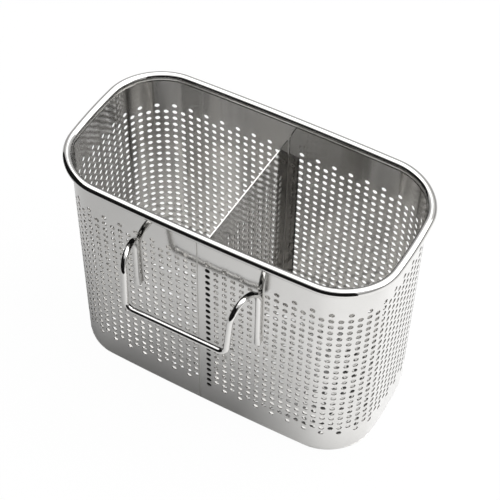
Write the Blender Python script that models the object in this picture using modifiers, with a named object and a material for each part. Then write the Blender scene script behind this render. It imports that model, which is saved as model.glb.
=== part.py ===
"""Two-compartment dish drainer: a perforated stainless basket with a wire rim and a hanging hook.

Metres, +Z up. The origin is the middle of the basket's underside. X runs along the basket,
and the hook is on the front wall, towards -Y.
"""
import math

import bmesh
import bpy
from mathutils import Matrix, Vector

# Basket, measured over the rim wire
RIM_LENGTH = 0.200
RIM_DEPTH = 0.104
HEIGHT = 0.150
RIM_CORNER_RADIUS = 0.028
END_BOW = 0.0037
SIDE_BOW = 0.0019
RIM_WIRE = 0.0050
RIM_OVERHANG = 0.0017

# Sheets
WALL_SHEET = 0.0006
FLOOR_SHEET = 0.0012
FLOOR_EDGE_ROUND = 0.0005
DIVIDER_SHEET = 0.0006
DIVIDER_DROP = 0.0145
DIVIDER_FLANGE = 0.0070
DIVIDER_FLANGE_DROP = 0.0135
DIVIDER_CORNER_RADIUS = 0.0035
DIVIDER_FRONT_X = -0.0020
DIVIDER_BACK_X = 0.0000

# Perforation: 3 mm round holes in straight rows and columns. One six-sided opening stands here
# for three by three of them and has their area. OPENING is its width from corner to corner, and
# CELL_SHARE is how much of the columns' spacing its cell takes.
COLUMN_PITCH = 0.00511
ROW_PITCH = 0.00495
HOLES_IN_LINE = 3
OPENING = 0.0098
CELL_SHARE = 0.8
WALL_TOP_BAND = 0.0220
WALL_BOTTOM_BAND = 0.0160
DIVIDER_TOP_BAND = 0.0181
DIVIDER_SIDE_BAND = 0.0065
FLOOR_MARGIN = 0.0120

# Hanging hook, one bent wire, with its heights measured down from the basket's top
HOOK_WIRE = 0.0035
HOOK_X = -0.0030
HOOK_HALF_SPAN = 0.0378
HOOK_HALF_SHOULDER = 0.0320
HOOK_HALF_BAR = 0.0309
HOOK_ARCH_DROP = 0.0316
HOOK_ARCH_RADIUS = 0.0099
HOOK_LEFT_LEG = 0.0329
HOOK_RIGHT_LEG = 0.0377
HOOK_BAR_DROP = 0.0566
HOOK_BAR_REACH = 0.0236
HOOK_BEND_RADIUS = 0.0048

# Welds
SEAM_X = -0.0030
SEAM_BEAD = 0.0010
SEAM_BEAD_HEIGHT = 0.0004
BEAD_RADIUS = 0.0004
HOOK_BEAD_LENGTH = 0.0080
SPOT = 0.0030
SPOT_FROM_EDGE = 0.0033
SPOT_FROM_END = 0.0060

# Clearance left between pieces that touch, and the distance under which two points are one
GAP = 0.0003
CLOSE = 0.00001

# Facets, with the wall's outline finer than the wires', and the length of a drill in sheets
CORNER_STEPS = 8
SIDE_STEPS = 6
WALL_FINENESS = 3
ARCH_STEPS = 10
BEND_STEPS = 4
ROUNDING_STEPS = 3
DRILL_SHEETS = 3

STEEL = (0.62, 0.62, 0.60, 1.0)
BRIGHT_STEEL = (0.70, 0.70, 0.69, 1.0)
WELD = (0.50, 0.49, 0.47, 1.0)

RIM_Z = HEIGHT - RIM_WIRE / 2
WALL_BASE_Z = FLOOR_SHEET + GAP
WALL_TOP_Z = RIM_Z - math.sqrt((RIM_WIRE / 2) ** 2 - RIM_OVERHANG ** 2) - GAP
WALL_INNER = RIM_OVERHANG + WALL_SHEET
DIVIDER_TOP_Z = HEIGHT - DIVIDER_DROP
FLANGE_TOP_Z = DIVIDER_TOP_Z - DIVIDER_FLANGE_DROP
TO_FRONT = Matrix.Rotation(math.pi / 2, 3, "X")


def clear_scene():
    for item in list(bpy.data.objects):
        bpy.data.objects.remove(item, do_unlink=True)


def new_collection(name):
    group = bpy.data.collections.new(name)
    bpy.context.scene.collection.children.link(group)
    return group


def metal(name, colour, roughness):
    material = bpy.data.materials.new(name)
    material.use_nodes = True
    shader = material.node_tree.nodes["Principled BSDF"]
    shader.inputs["Base Color"].default_value = colour
    shader.inputs["Metallic"].default_value = 1.0
    shader.inputs["Roughness"].default_value = roughness
    return material


def add_object(name, data, group, material=None):
    piece = bpy.data.objects.new(name, data)
    group.objects.link(piece)
    if material:
        data.materials.append(material)
    return piece


def mesh_from(bm, name):
    mesh = bpy.data.meshes.new(name)
    bm.to_mesh(mesh)
    bm.free()
    return mesh


def add_cutter(name, bm, group):
    cutter = add_object(name, mesh_from(bm, name), group)
    cutter.hide_render = True
    cutter.display_type = "WIRE"
    return cutter


def cut(piece, cutter):
    step = piece.modifiers.new(cutter.name, "BOOLEAN")
    step.operation = "DIFFERENCE"
    step.object = cutter


# Plan shape


def half_sizes(inset):
    """Half length and half depth at the corners, this far inside the rim wire's centre line."""
    half_length = RIM_LENGTH / 2 - RIM_WIRE / 2 - END_BOW - inset
    half_depth = RIM_DEPTH / 2 - RIM_WIRE / 2 - SIDE_BOW - inset
    return half_length, half_depth


def bowed(x, y, inset):
    """Push a point of the straight-sided outline out along the bulge of its side or end."""
    half_length, half_depth = half_sizes(inset)
    along = 1 + END_BOW / half_length * (1 - (y / half_depth) ** 2)
    across = 1 + SIDE_BOW / half_depth * (1 - (x / half_length) ** 2)
    return Vector((x * along, y * across))


def plan_outline(inset, corner_steps=CORNER_STEPS, side_steps=SIDE_STEPS):
    """Closed plan outline, anticlockwise from where the right end meets the back corner."""
    half_length, half_depth = half_sizes(inset)
    radius = RIM_CORNER_RADIUS - inset
    centre_x = half_length - radius
    centre_y = half_depth - radius
    straight = []
    for quarter, (sign_x, sign_y) in enumerate(((1, 1), (-1, 1), (-1, -1), (1, -1))):
        for step in range(corner_steps + 1):
            angle = math.radians(90 * (quarter + step / corner_steps))
            straight.append(Vector((sign_x * centre_x + radius * math.cos(angle),
                                    sign_y * centre_y + radius * math.sin(angle))))
        start = straight[-1]
        mirror = Vector((-1, 1)) if quarter % 2 == 0 else Vector((1, -1))
        for step in range(1, side_steps):
            straight.append(start.lerp(start * mirror, step / side_steps))
    return [bowed(point.x, point.y, inset) for point in straight]


def front_y(x, inset):
    """Y of the front side at this X, this far inside the rim wire's centre line."""
    return bowed(x, -half_sizes(inset)[1], inset).y


def ring_at(outline, z):
    return [Vector((point.x, point.y, z)) for point in outline]


def from_seam(outline):
    """Start a closed outline at the seam in the front wall, and run anticlockwise."""
    after = min((index for index, point in enumerate(outline)
                 if point.y < 0 and point.x > SEAM_X), key=lambda index: outline[index].x)
    seam = Vector((SEAM_X, front_y(SEAM_X, RIM_OVERHANG)))
    return [seam] + outline[after:] + outline[:after] + [seam]


class Track:
    """A plan line measured by distance along it, as a flat sheet is before it is bent."""

    def __init__(self, points):
        self.points = points
        self.marks = [0.0]
        for start, end in zip(points, points[1:]):
            self.marks.append(self.marks[-1] + (end - start).length)
        self.length = self.marks[-1]

    def at(self, distance):
        """Plan point at a distance along the line."""
        for index, mark in enumerate(self.marks[1:]):
            if distance <= mark:
                share = (distance - self.marks[index]) / (mark - self.marks[index])
                return self.points[index].lerp(self.points[index + 1], share)
        return self.points[-1]


# Perforated sheet


def openings(start, end, pitch):
    """Centres of the openings that fill a stretch of holes set this far apart."""
    count = round((end - start) / (pitch * HOLES_IN_LINE))
    step = (end - start) / count
    return [start + step * (index + 0.5) for index in range(count)]


def near(value, choices):
    return any(abs(value - choice) < CLOSE for choice in choices)


def perforated_sheet(name, track, heights, columns, rows, bends=(), flange_top=0.0):
    """A flat grid with a six-sided opening in the middle of each cell, bent along a track.

    A cell is split at its middle, so that it bends too, and has plain sheet on both sides.
    Outside a pair of bends the sheet reaches only to the flanges' top.
    """
    half_cell = (columns[1] - columns[0]) * CELL_SHARE / 2
    half_row = (rows[1] - rows[0]) / 2
    stations = [0.0, track.length, *bends]
    stations += [column + side * half_cell for column in columns for side in (-1, 0, 1)]
    stations.sort()
    levels = [*heights, rows[-1] + half_row] + [row - half_row for row in rows]
    if bends:
        levels.append(flange_top)
    levels.sort()
    wide = len(stations) - 1
    tall = len(levels) - 1
    bm = bmesh.new()
    bmesh.ops.create_grid(bm, x_segments=wide, y_segments=tall, size=0.5)
    for vert in bm.verts:
        vert.co = (stations[round((vert.co.x + 0.5) * wide)],
                   levels[round((vert.co.y + 0.5) * tall)], 0)
    notches = []
    cells = {(column, row): [] for column in columns for row in rows}
    for face in bm.faces:
        centre = face.calc_center_median()
        if bends and centre.y > flange_top and not bends[0] < centre.x < bends[1]:
            notches.append(face)
        for column, row in cells:
            if near(abs(centre.x - column), [half_cell / 2]) and near(centre.y, [row]):
                cells[column, row].append(face)
    bmesh.ops.delete(bm, geom=notches, context="FACES")
    corners = [vert for vert in bm.verts if near(vert.co.x, bends) and near(vert.co.y, heights[1:])]
    bmesh.ops.bevel(bm, geom=corners, offset=DIVIDER_CORNER_RADIUS, segments=ROUNDING_STEPS,
                    profile=0.5, affect="VERTICES")
    for (column, row), halves in cells.items():
        bmesh.ops.inset_region(bm, faces=halves, thickness=half_cell / 2, use_even_offset=True)
        shape_opening(halves, Vector((column, row, 0)))
    bmesh.ops.delete(bm, geom=[face for halves in cells.values() for face in halves],
                     context="FACES")
    for vert in bm.verts:
        place = track.at(vert.co.x)
        vert.co = (place.x, place.y, vert.co.y)
    bmesh.ops.remove_doubles(bm, verts=bm.verts, dist=CLOSE)
    mesh = mesh_from(bm, name)
    mesh.shade_smooth()
    mesh.set_sharp_from_angle(angle=math.radians(35))
    return mesh


def shape_opening(halves, centre):
    """Move the six corners of a cell's two inset halves onto the opening."""
    for vert in {vert for face in halves for vert in face.verts}:
        offset = vert.co - centre
        angle = math.radians(90 if abs(offset.x) < CLOSE else 30)
        vert.co.x = centre.x + math.copysign(math.cos(angle), offset.x) * OPENING / 2
        vert.co.y = centre.y + math.copysign(math.sin(angle), offset.y) * OPENING / 2


def thicken(piece, sheet, offset):
    layer = piece.modifiers.new("sheet", "SOLIDIFY")
    layer.thickness = sheet
    layer.offset = offset
    layer.use_even_offset = True


# Basket


def make_wall(group, material):
    """One sheet rolled into a tube, closed by a butt seam in the front wall."""
    outline = plan_outline(RIM_OVERHANG, WALL_FINENESS * CORNER_STEPS, WALL_FINENESS * SIDE_STEPS)
    track = Track(from_seam(outline))
    columns = openings(0.0, track.length, COLUMN_PITCH)
    rows = openings(WALL_BOTTOM_BAND, HEIGHT - WALL_TOP_BAND, ROW_PITCH)
    mesh = perforated_sheet("basket_wall", track, (WALL_BASE_Z, WALL_TOP_Z), columns, rows)
    piece = add_object("basket_wall", mesh, group, material)
    thicken(piece, WALL_SHEET, -1)


def make_seam_weld(group, material):
    """The bead on the inner side of the seam."""
    height = WALL_TOP_Z - WALL_BASE_Z
    inner_y = front_y(SEAM_X, WALL_INNER) + GAP
    bm = bmesh.new()
    bmesh.ops.create_cube(bm, size=1.0)
    bmesh.ops.scale(bm, vec=(SEAM_BEAD, SEAM_BEAD_HEIGHT, height), verts=bm.verts)
    mesh = mesh_from(bm, "seam_weld")
    piece = add_object("seam_weld", mesh, group, material)
    piece.location = (SEAM_X, inner_y + SEAM_BEAD_HEIGHT / 2, WALL_BASE_Z + height / 2)
    crown = piece.modifiers.new("crown", "BEVEL")
    crown.width = SEAM_BEAD_HEIGHT / 3
    crown.segments = 1


def inside_plan(x, y, inset):
    """Whether a point lies within the straight-sided plan, this far inside the rim line."""
    half_length, half_depth = half_sizes(inset)
    radius = RIM_CORNER_RADIUS - inset
    past_x = max(abs(x) - (half_length - radius), 0.0)
    past_y = max(abs(y) - (half_depth - radius), 0.0)
    return math.hypot(past_x, past_y) <= radius


def floor_openings():
    """Centres of the floor's openings, in columns on both sides of the divider."""
    step_x = COLUMN_PITCH * HOLES_IN_LINE
    step_y = ROW_PITCH * HOLES_IN_LINE
    across = int(RIM_LENGTH / 2 / step_x) + 1
    deep = int(RIM_DEPTH / 2 / step_y) + 1
    return [((column + 0.5) * step_x, row * step_y)
            for column in range(-across, across) for row in range(-deep, deep + 1)
            if inside_plan((column + 0.5) * step_x, row * step_y, RIM_OVERHANG + FLOOR_MARGIN)]


def add_pin(bm, radius, height, sides, place, turn=Matrix.Identity(3)):
    """One prism in a shared mesh, upright unless it is turned."""
    pin = bmesh.ops.create_cone(bm, cap_ends=True, segments=sides, radius1=radius,
                                radius2=radius, depth=height)
    bmesh.ops.rotate(bm, verts=pin["verts"], cent=(0, 0, 0), matrix=turn)
    bmesh.ops.translate(bm, verts=pin["verts"], vec=place)


def flat_plate(name, outline, base_z, thickness, group, material):
    """A plate cut along a plan outline, as a mesh that can be drilled."""
    curve = bpy.data.curves.new(name, "CURVE")
    curve.dimensions = "2D"
    curve.fill_mode = "BOTH"
    curve.extrude = thickness / 2
    spline = curve.splines.new("POLY")
    spline.points.add(len(outline) - 1)
    for slot, point in zip(spline.points, outline):
        slot.co = (point.x, point.y, 0, 1)
    spline.use_cyclic_u = True
    drawn = bpy.data.objects.new(name + "_outline", curve)
    group.objects.link(drawn)
    drawn.location.z = base_z + thickness / 2
    depsgraph = bpy.context.evaluated_depsgraph_get()
    mesh = bpy.data.meshes.new_from_object(drawn.evaluated_get(depsgraph))
    bm = bmesh.new()
    bm.from_mesh(mesh)
    bmesh.ops.remove_doubles(bm, verts=bm.verts, dist=CLOSE)
    bm.to_mesh(mesh)
    bm.free()
    mesh.name = name
    piece = add_object(name, mesh, group, material)
    piece.matrix_world = drawn.matrix_world
    bpy.data.objects.remove(drawn, do_unlink=True)
    return piece


def make_floor(group, cutter_group, material):
    """A flat perforated plate, flush with the wall's outer face, that closes the bottom."""
    piece = flat_plate("floor_panel", plan_outline(RIM_OVERHANG), 0.0, FLOOR_SHEET, group,
                       material)
    edge = piece.modifiers.new("ground_edge", "BEVEL")
    edge.width = FLOOR_EDGE_ROUND
    edge.segments = 1
    edge.limit_method = "ANGLE"
    edge.angle_limit = math.radians(40)
    bm = bmesh.new()
    for x, y in floor_openings():
        add_pin(bm, OPENING / 2, DRILL_SHEETS * FLOOR_SHEET, 6, (x, y, FLOOR_SHEET / 2))
    cut(piece, add_cutter("floor_openings", bm, cutter_group))


# Divider


def divider_line():
    """Plan line of the divider: a flange on the front wall, the web, a flange at the back."""
    reach = half_sizes(WALL_INNER)[1] + SIDE_BOW - GAP
    turned = DIVIDER_FLANGE - DIVIDER_SHEET / 2
    return [Vector((DIVIDER_FRONT_X + turned, -reach)), Vector((DIVIDER_FRONT_X, -reach)),
            Vector((DIVIDER_BACK_X, reach)), Vector((DIVIDER_BACK_X + turned, reach))]


def divider_spots():
    """Name and centre of each spot weld that holds a flange of the divider to its wall."""
    line = divider_line()
    share = SPOT_FROM_EDGE / DIVIDER_FLANGE
    heights = (("lower", WALL_BASE_Z + SPOT_FROM_END), ("upper", FLANGE_TOP_Z - SPOT_FROM_END))
    spots = []
    for end, middle, side in (("front", line[0].lerp(line[1], share), 1),
                              ("back", line[3].lerp(line[2], share), -1)):
        for level, z in heights:
            place = Vector((middle.x, middle.y + side * DIVIDER_SHEET / 2, z))
            spots.append((f"divider_spot_{end}_{level}", place))
    return spots


def make_divider(group, cutter_group, material):
    """A perforated sheet across the basket, with both ends turned along the walls."""
    track = Track(divider_line())
    bends = track.marks[1:3]
    columns = openings(bends[0] + DIVIDER_SIDE_BAND, bends[1] - DIVIDER_SIDE_BAND, COLUMN_PITCH)
    rows = openings(WALL_BOTTOM_BAND, DIVIDER_TOP_Z - DIVIDER_TOP_BAND, ROW_PITCH)
    heights = (WALL_BASE_Z, DIVIDER_TOP_Z)
    mesh = perforated_sheet("divider", track, heights, columns, rows, bends, FLANGE_TOP_Z)
    piece = add_object("divider", mesh, group, material)
    thicken(piece, DIVIDER_SHEET, 1)
    bm = bmesh.new()
    for _, place in divider_spots():
        add_pin(bm, SPOT / 2 + GAP, DRILL_SHEETS * DIVIDER_SHEET, 8, place, TO_FRONT)
    cut(piece, add_cutter("spot_seats", bm, cutter_group))


def make_divider_spots(group, material):
    """The fused spots of the divider's flanges, each one in its own seat."""
    bm = bmesh.new()
    add_pin(bm, SPOT / 2, DIVIDER_SHEET, 8, (0, 0, 0), TO_FRONT)
    mesh = mesh_from(bm, "divider_spot")
    mesh.materials.append(material)
    for name, place in divider_spots():
        piece = add_object(name, mesh, group)
        piece.location = place


# Wires


def wire(name, points, radius, sides, closed, group, material):
    """Round wire through a run of points, with an even number of sides."""
    curve = bpy.data.curves.new(name, "CURVE")
    curve.dimensions = "3D"
    curve.bevel_depth = radius
    curve.bevel_resolution = sides // 2 - 2
    curve.use_fill_caps = True
    spline = curve.splines.new("POLY")
    spline.points.add(len(points) - 1)
    for slot, point in zip(spline.points, points):
        slot.co = (point.x, point.y, point.z, 1)
    spline.use_cyclic_u = closed
    add_object(name, curve, group, material)


def make_rim(group, material, weld):
    """The round wire on the wall's top edge, and the bead that closes the joint below it."""
    wire("rim_wire", ring_at(plan_outline(0.0), RIM_Z), RIM_WIRE / 2, 12, True, group, material)
    inset = RIM_OVERHANG - GAP - BEAD_RADIUS
    apart = RIM_WIRE / 2 + GAP + BEAD_RADIUS
    bead_z = RIM_Z - math.sqrt(apart ** 2 - inset ** 2)
    wire("rim_weld", ring_at(plan_outline(inset), bead_z), BEAD_RADIUS, 4, True, group, weld)


def hook_leg(side):
    """Foot and top of the straight leg that lies on the wall, on the side -1 or 1."""
    x = HOOK_X + side * HOOK_HALF_SPAN
    y = front_y(x, RIM_OVERHANG) - GAP - HOOK_WIRE / 2
    top_z = HEIGHT - HOOK_ARCH_DROP
    length = HOOK_LEFT_LEG if side < 0 else HOOK_RIGHT_LEG
    return Vector((x, y, top_z - length)), Vector((x, y, top_z))


def rounded_corner(start, corner, end, radius):
    """Points along the arc that rounds the corner between two straight runs."""
    back = (start - corner).normalized()
    onward = (end - corner).normalized()
    half = back.angle(onward) / 2
    centre = corner + (back + onward).normalized() * radius / math.sin(half)
    first = (corner + back * radius / math.tan(half) - centre).normalized()
    last = (corner + onward * radius / math.tan(half) - centre).normalized()
    shares = [step / BEND_STEPS for step in range(BEND_STEPS + 1)]
    return [centre + first.slerp(last, share) * radius for share in shares]


def hook_side(side):
    """Half of the hook wire, from its foot over the arch to the middle of the bar."""
    foot, top = hook_leg(side)
    lean = side * (HOOK_HALF_SHOULDER - HOOK_HALF_SPAN)
    points = [foot, top]
    for step in range(1, ARCH_STEPS + 1):
        angle = math.pi * step / ARCH_STEPS
        points.append(top + Vector((lean * step / ARCH_STEPS,
                                    -HOOK_ARCH_RADIUS * (1 - math.cos(angle)),
                                    HOOK_ARCH_RADIUS * math.sin(angle))))
    bar_y = front_y(HOOK_X, RIM_OVERHANG) - HOOK_BAR_REACH
    bar_z = HEIGHT - HOOK_BAR_DROP
    corner = Vector((HOOK_X + side * HOOK_HALF_BAR, bar_y, bar_z))
    middle = Vector((HOOK_X, bar_y, bar_z))
    return points + rounded_corner(points[-1], corner, middle, HOOK_BEND_RADIUS)


def make_hook(group, material):
    """One wire bent over twice, with a straight leg at each end that lies on the wall."""
    path = hook_side(-1) + hook_side(1)[::-1]
    wire("hook_wire", path, HOOK_WIRE / 2, 10, False, group, material)


def make_hook_weld(name, side, group, material):
    """The bead up both sides of a leg and under its foot, on the wall."""
    foot = hook_leg(side)[0]
    reach = HOOK_WIRE / 2 + GAP + BEAD_RADIUS
    beside = math.sqrt(reach ** 2 - (HOOK_WIRE / 2 - BEAD_RADIUS) ** 2)
    below = GAP + BEAD_RADIUS
    points = []
    for across, up in ((-1, HOOK_BEAD_LENGTH), (-1, 0.0), (0, -below), (1, 0.0),
                       (1, HOOK_BEAD_LENGTH)):
        x = foot.x + across * beside
        points.append(Vector((x, front_y(x, RIM_OVERHANG) - GAP - BEAD_RADIUS, foot.z + up)))
    wire(name, points, BEAD_RADIUS, 6, False, group, material)


clear_scene()
drainer = new_collection("dish_drainer")
cutters = new_collection("cutters")
brushed_sheet = metal("brushed_stainless_sheet", STEEL, 0.32)
polished_wire = metal("polished_stainless_wire", BRIGHT_STEEL, 0.12)
weld_metal = metal("ground_weld", WELD, 0.45)
make_wall(drainer, brushed_sheet)
make_seam_weld(drainer, weld_metal)
make_floor(drainer, cutters, brushed_sheet)
make_divider(drainer, cutters, brushed_sheet)
make_divider_spots(drainer, weld_metal)
make_rim(drainer, polished_wire, weld_metal)
make_hook(drainer, polished_wire)
make_hook_weld("hook_weld_left", -1, drainer, weld_metal)
make_hook_weld("hook_weld_right", 1, drainer, weld_metal)
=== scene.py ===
import math

import bmesh
import bpy
import numpy as np
from mathutils import Matrix, Vector


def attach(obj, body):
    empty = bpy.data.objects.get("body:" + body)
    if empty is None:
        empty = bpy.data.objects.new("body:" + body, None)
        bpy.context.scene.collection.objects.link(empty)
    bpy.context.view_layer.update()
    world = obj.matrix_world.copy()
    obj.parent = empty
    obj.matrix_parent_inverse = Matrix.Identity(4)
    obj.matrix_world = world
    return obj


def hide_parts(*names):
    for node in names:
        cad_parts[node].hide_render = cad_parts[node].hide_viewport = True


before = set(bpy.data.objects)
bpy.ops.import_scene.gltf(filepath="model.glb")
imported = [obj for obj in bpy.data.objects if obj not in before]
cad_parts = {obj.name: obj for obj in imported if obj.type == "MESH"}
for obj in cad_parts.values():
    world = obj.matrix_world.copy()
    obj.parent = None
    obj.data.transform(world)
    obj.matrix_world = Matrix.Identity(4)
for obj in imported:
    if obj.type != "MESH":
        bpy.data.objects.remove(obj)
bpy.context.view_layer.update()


# Basket wall. One sheet of 0.6 mm stainless steel, punched flat with round holes in straight
# columns, every other one a hole shorter at both ends. The sheet is then rolled into a tube with
# rounded corners, its long sides and ends bulging a little, and meets itself in the front.

RIM_LENGTH = 0.200
RIM_DEPTH = 0.104
HEIGHT = 0.150
RIM_CORNER = 0.028
END_BULGE = 0.0037
SIDE_BULGE = 0.0019
RIM_WIRE = 0.0050
WALL_OVERHANG = 0.0017
SHEET = 0.0006
FLOOR_SHEET = 0.0012
HOLE = 0.0031
HOLE_EDGE = 0.00004
HOLE_SIDES = 12
HOLE_RING = [(math.cos(math.radians(15 + 30 * step)), math.sin(math.radians(15 + 30 * step)))
             for step in range(HOLE_SIDES)]
CORNER_STEPS = 24
SIDE_STEPS = 40
WALL_COLUMNS = 100
WALL_ROWS = 23
ROW_PITCH = 0.00495
WALL_TOP_ROW = 0.1265
SEAM_X = -0.0030
SEAM_TO_FIRST_COLUMN = 0.0062
LAST_COLUMN_TO_SEAM = 0.0021


def half_plan(inset):
    """Half length and depth of the straight-sided plan, this far inside the rim wire's middle."""
    return (RIM_LENGTH / 2 - RIM_WIRE / 2 - END_BULGE - inset,
            RIM_DEPTH / 2 - RIM_WIRE / 2 - SIDE_BULGE - inset)


def bulged(x, y, half_length, half_depth):
    """A point of the straight-sided plan, pushed out with the bulge of its side or end."""
    along = 1 + END_BULGE / half_length * (1 - (y / half_depth) ** 2)
    across = 1 + SIDE_BULGE / half_depth * (1 - (x / half_length) ** 2)
    return Vector((x * along, y * across))


def plan_outline(inset):
    """Plan of the basket, anticlockwise, this far inside the middle of the rim wire."""
    half_length, half_depth = half_plan(inset)
    radius = RIM_CORNER - inset
    straight = []
    for quarter, (sign_x, sign_y) in enumerate(((1, 1), (-1, 1), (-1, -1), (1, -1))):
        for step in range(CORNER_STEPS + 1):
            angle = math.radians(90 * (quarter + step / CORNER_STEPS))
            straight.append(Vector((sign_x * (half_length - radius) + radius * math.cos(angle),
                                    sign_y * (half_depth - radius) + radius * math.sin(angle))))
        start = straight[-1]
        mirror = Vector((-1, 1)) if quarter % 2 == 0 else Vector((1, -1))
        straight += [start.lerp(start * mirror, step / SIDE_STEPS)
                     for step in range(1, SIDE_STEPS)]
    return [bulged(point.x, point.y, half_length, half_depth) for point in straight]


def front_y(x, inset):
    """Y of the front side at this X."""
    half_length, half_depth = half_plan(inset)
    return bulged(x, -half_depth, half_length, half_depth).y


class Bend:
    """The plan line that a flat sheet is bent along, with the sheet's depth to its right."""

    def __init__(self, points, closed=False):
        self.points = np.array([tuple(point) for point in points])
        steps = np.diff(self.points, axis=0)
        self.marks = np.concatenate(([0.0], np.cumsum(np.hypot(steps[:, 0], steps[:, 1]))))
        self.length = float(self.marks[-1])
        first, second = self.points[:2]
        beside_last, last = self.points[-2:]
        before, after = ((beside_last, second) if closed else
                         (2 * first - second, 2 * last - beside_last))
        around = np.vstack((before, self.points, after))
        ahead = around[2:] - around[:-2]
        self.ahead = ahead / np.hypot(ahead[:, 0], ahead[:, 1])[:, None]

    def frame(self, along):
        """Place, onward direction and right-hand direction at these distances."""
        place, ahead = (np.stack([np.interp(along, self.marks, column) for column in table.T],
                                 axis=1) for table in (self.points, self.ahead))
        ahead /= np.hypot(ahead[:, 0], ahead[:, 1])[:, None]
        return place, ahead, np.stack((ahead[:, 1], -ahead[:, 0]), axis=1)

    def points_of(self, flat):
        """Bent places of flat points: how far along, how high, and the depth."""
        place, _, right = self.frame(flat[:, 0])
        return np.column_stack((place + right * flat[:, 2:3], flat[:, 1]))

    def directions_of(self, flat, directions):
        """The directions, turned as the sheet is at these flat points."""
        _, ahead, right = self.frame(flat[:, 0])
        return np.column_stack((ahead * directions[:, 0:1] + right * directions[:, 2:3],
                                directions[:, 1]))


def punched_sheet(name, bend, stations, levels, holes, low, high, missing=(), top_of=None,
                  heated=()):
    """A sheet made in cells and then bent, with a round hole in each cell of holes.

    Low and high are the depths of its faces. Each hole's edge is rounded on the high side. Columns
    of cells listed with a share get painted shade: near black on their low faces, and their high
    faces darkened by the share. The face attribute that the material reads is 1 on a hole's wall,
    which is dull and darkened as painted shade, 2 on the near black painted shade, and below 0 on
    the darkened high faces.
    """
    # Painted shade by column: the share by which each flange column's high faces are darkened
    heat = dict(heated)
    points, faces, normals, cut, known = [], [], [], [], {}

    def add_face(corners, directions=None, torn=0.0):
        if directions is None:
            first, second, third = (Vector(corner) for corner in corners[:3])
            outward = (second - first).cross(third - second).normalized()
            directions = [tuple(outward)] * len(corners)
        face = []
        for corner in corners:
            key = tuple(round(value * 1e6) for value in corner)
            if key not in known:
                known[key] = len(points)
                points.append(corner)
            face.append(known[key])
        faces.append(face)
        normals.extend(directions)
        cut.append(torn)

    def corner_at(i, j, depth):
        x, z = stations[i], levels[j]
        return (x, top_of(x) if top_of and j == len(levels) - 1 else z, depth)

    cells = {(i, j) for i in range(len(stations) - 1)
             for j in range(len(levels) - 1)} - set(missing)
    for i, j in sorted(cells):
        around = ((i, j), (i + 1, j), (i + 1, j + 1), (i, j + 1))
        top = [corner_at(*place, high) for place in around]
        bottom = [corner_at(*place, low) for place in around]
        # Painted shade: the low faces of flange columns, which lie on the wall, are marked 2 and
        # drawn near black
        scale = 2.0 * (i in heat)
        if (i, j) in holes:
            x = (stations[i] + stations[i + 1]) / 2
            z = (levels[j] + levels[j + 1]) / 2
            inward = [(-across, -up, 0) for across, up in HOLE_RING]
            rings = [[(x + across * radius, z + up * radius, depth) for across, up in HOLE_RING]
                     for radius, depth in ((HOLE / 2 + HOLE_EDGE, high),
                                           (HOLE / 2, high - HOLE_EDGE), (HOLE / 2, low))]
            # Each side of the cell is joined to the quarter of the hole that faces it
            for side in range(4):
                turns = [(3 * side + back) % HOLE_SIDES for back in (1, 0, -1, -2)]
                ends = ((side + 1) % 4, (side + 2) % 4)
                add_face([top[end] for end in ends] + [rings[0][turn] for turn in turns],
                         [(0, 0, 1)] * 6)
                add_face([rings[2][turn] for turn in turns[::-1]]
                         + [bottom[end] for end in ends[::-1]], [(0, 0, -1)] * 6, scale)
            for turn in range(HOLE_SIDES):
                pair = (turn, (turn + 1) % HOLE_SIDES)
                add_face([rings[0][k] for k in pair] + [rings[1][k] for k in pair[::-1]],
                         [(0, 0, 1)] * 2 + [inward[k] for k in pair[::-1]])
                # A hole's wall is marked 1: dull from the punch, and darkened as painted shade
                add_face([rings[1][k] for k in pair] + [rings[2][k] for k in pair[::-1]],
                         [inward[k] for k in pair + pair[::-1]], torn=1.0)
        else:
            # A flange column's high face is marked below 0 for its painted shade
            add_face(top, [(0, 0, 1)] * 4, -heat.get(i, 0.0))
            add_face(bottom[::-1], [(0, 0, -1)] * 4, scale)
        for side, beside in enumerate(((i, j - 1), (i + 1, j), (i, j + 1), (i - 1, j))):
            if beside not in cells:
                end = (side + 1) % 4
                add_face([top[end], top[side], bottom[side], bottom[end]])
    flat = np.array(points)
    mesh = bpy.data.meshes.new(name)
    mesh.from_pydata(bend.points_of(flat).tolist(), [], faces)
    mesh.shade_smooth()
    corners = flat[np.concatenate(faces)]
    mesh.normals_split_custom_set(bend.directions_of(corners, np.array(normals)).tolist())
    grain = mesh.uv_layers.new(name="grain")
    grain.uv.foreach_set("vector", corners[:, :2].ravel().astype(np.float32))
    mesh.attributes.new("cut", "FLOAT", "FACE").data.foreach_set("value", cut)
    return mesh


def linear(code):
    """The linear colour of an sRGB hex code."""
    parts = [int(code[start:start + 2], 16) / 255 for start in (1, 3, 5)]
    return *(part / 12.92 if part <= 0.04045 else ((part + 0.055) / 1.055) ** 2.4
             for part in parts), 1.0


def add_node(owner, kind, sockets=(), **settings):
    """Add a node with its settings. A socket takes a value, or another node's output as a link."""
    node = owner.node_tree.nodes.new(kind)
    for name, value in settings.items():
        setattr(node, name, value)
    for name, value in dict(sockets).items():
        if isinstance(value, bpy.types.NodeSocket):
            owner.node_tree.links.new(value, node.inputs[name])
        else:
            node.inputs[name].default_value = value
    return node


def new_material(name):
    """A material with no nodes in it yet."""
    material = bpy.data.materials.new(name)
    material.use_nodes = True
    material.node_tree.nodes.clear()
    return material


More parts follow.
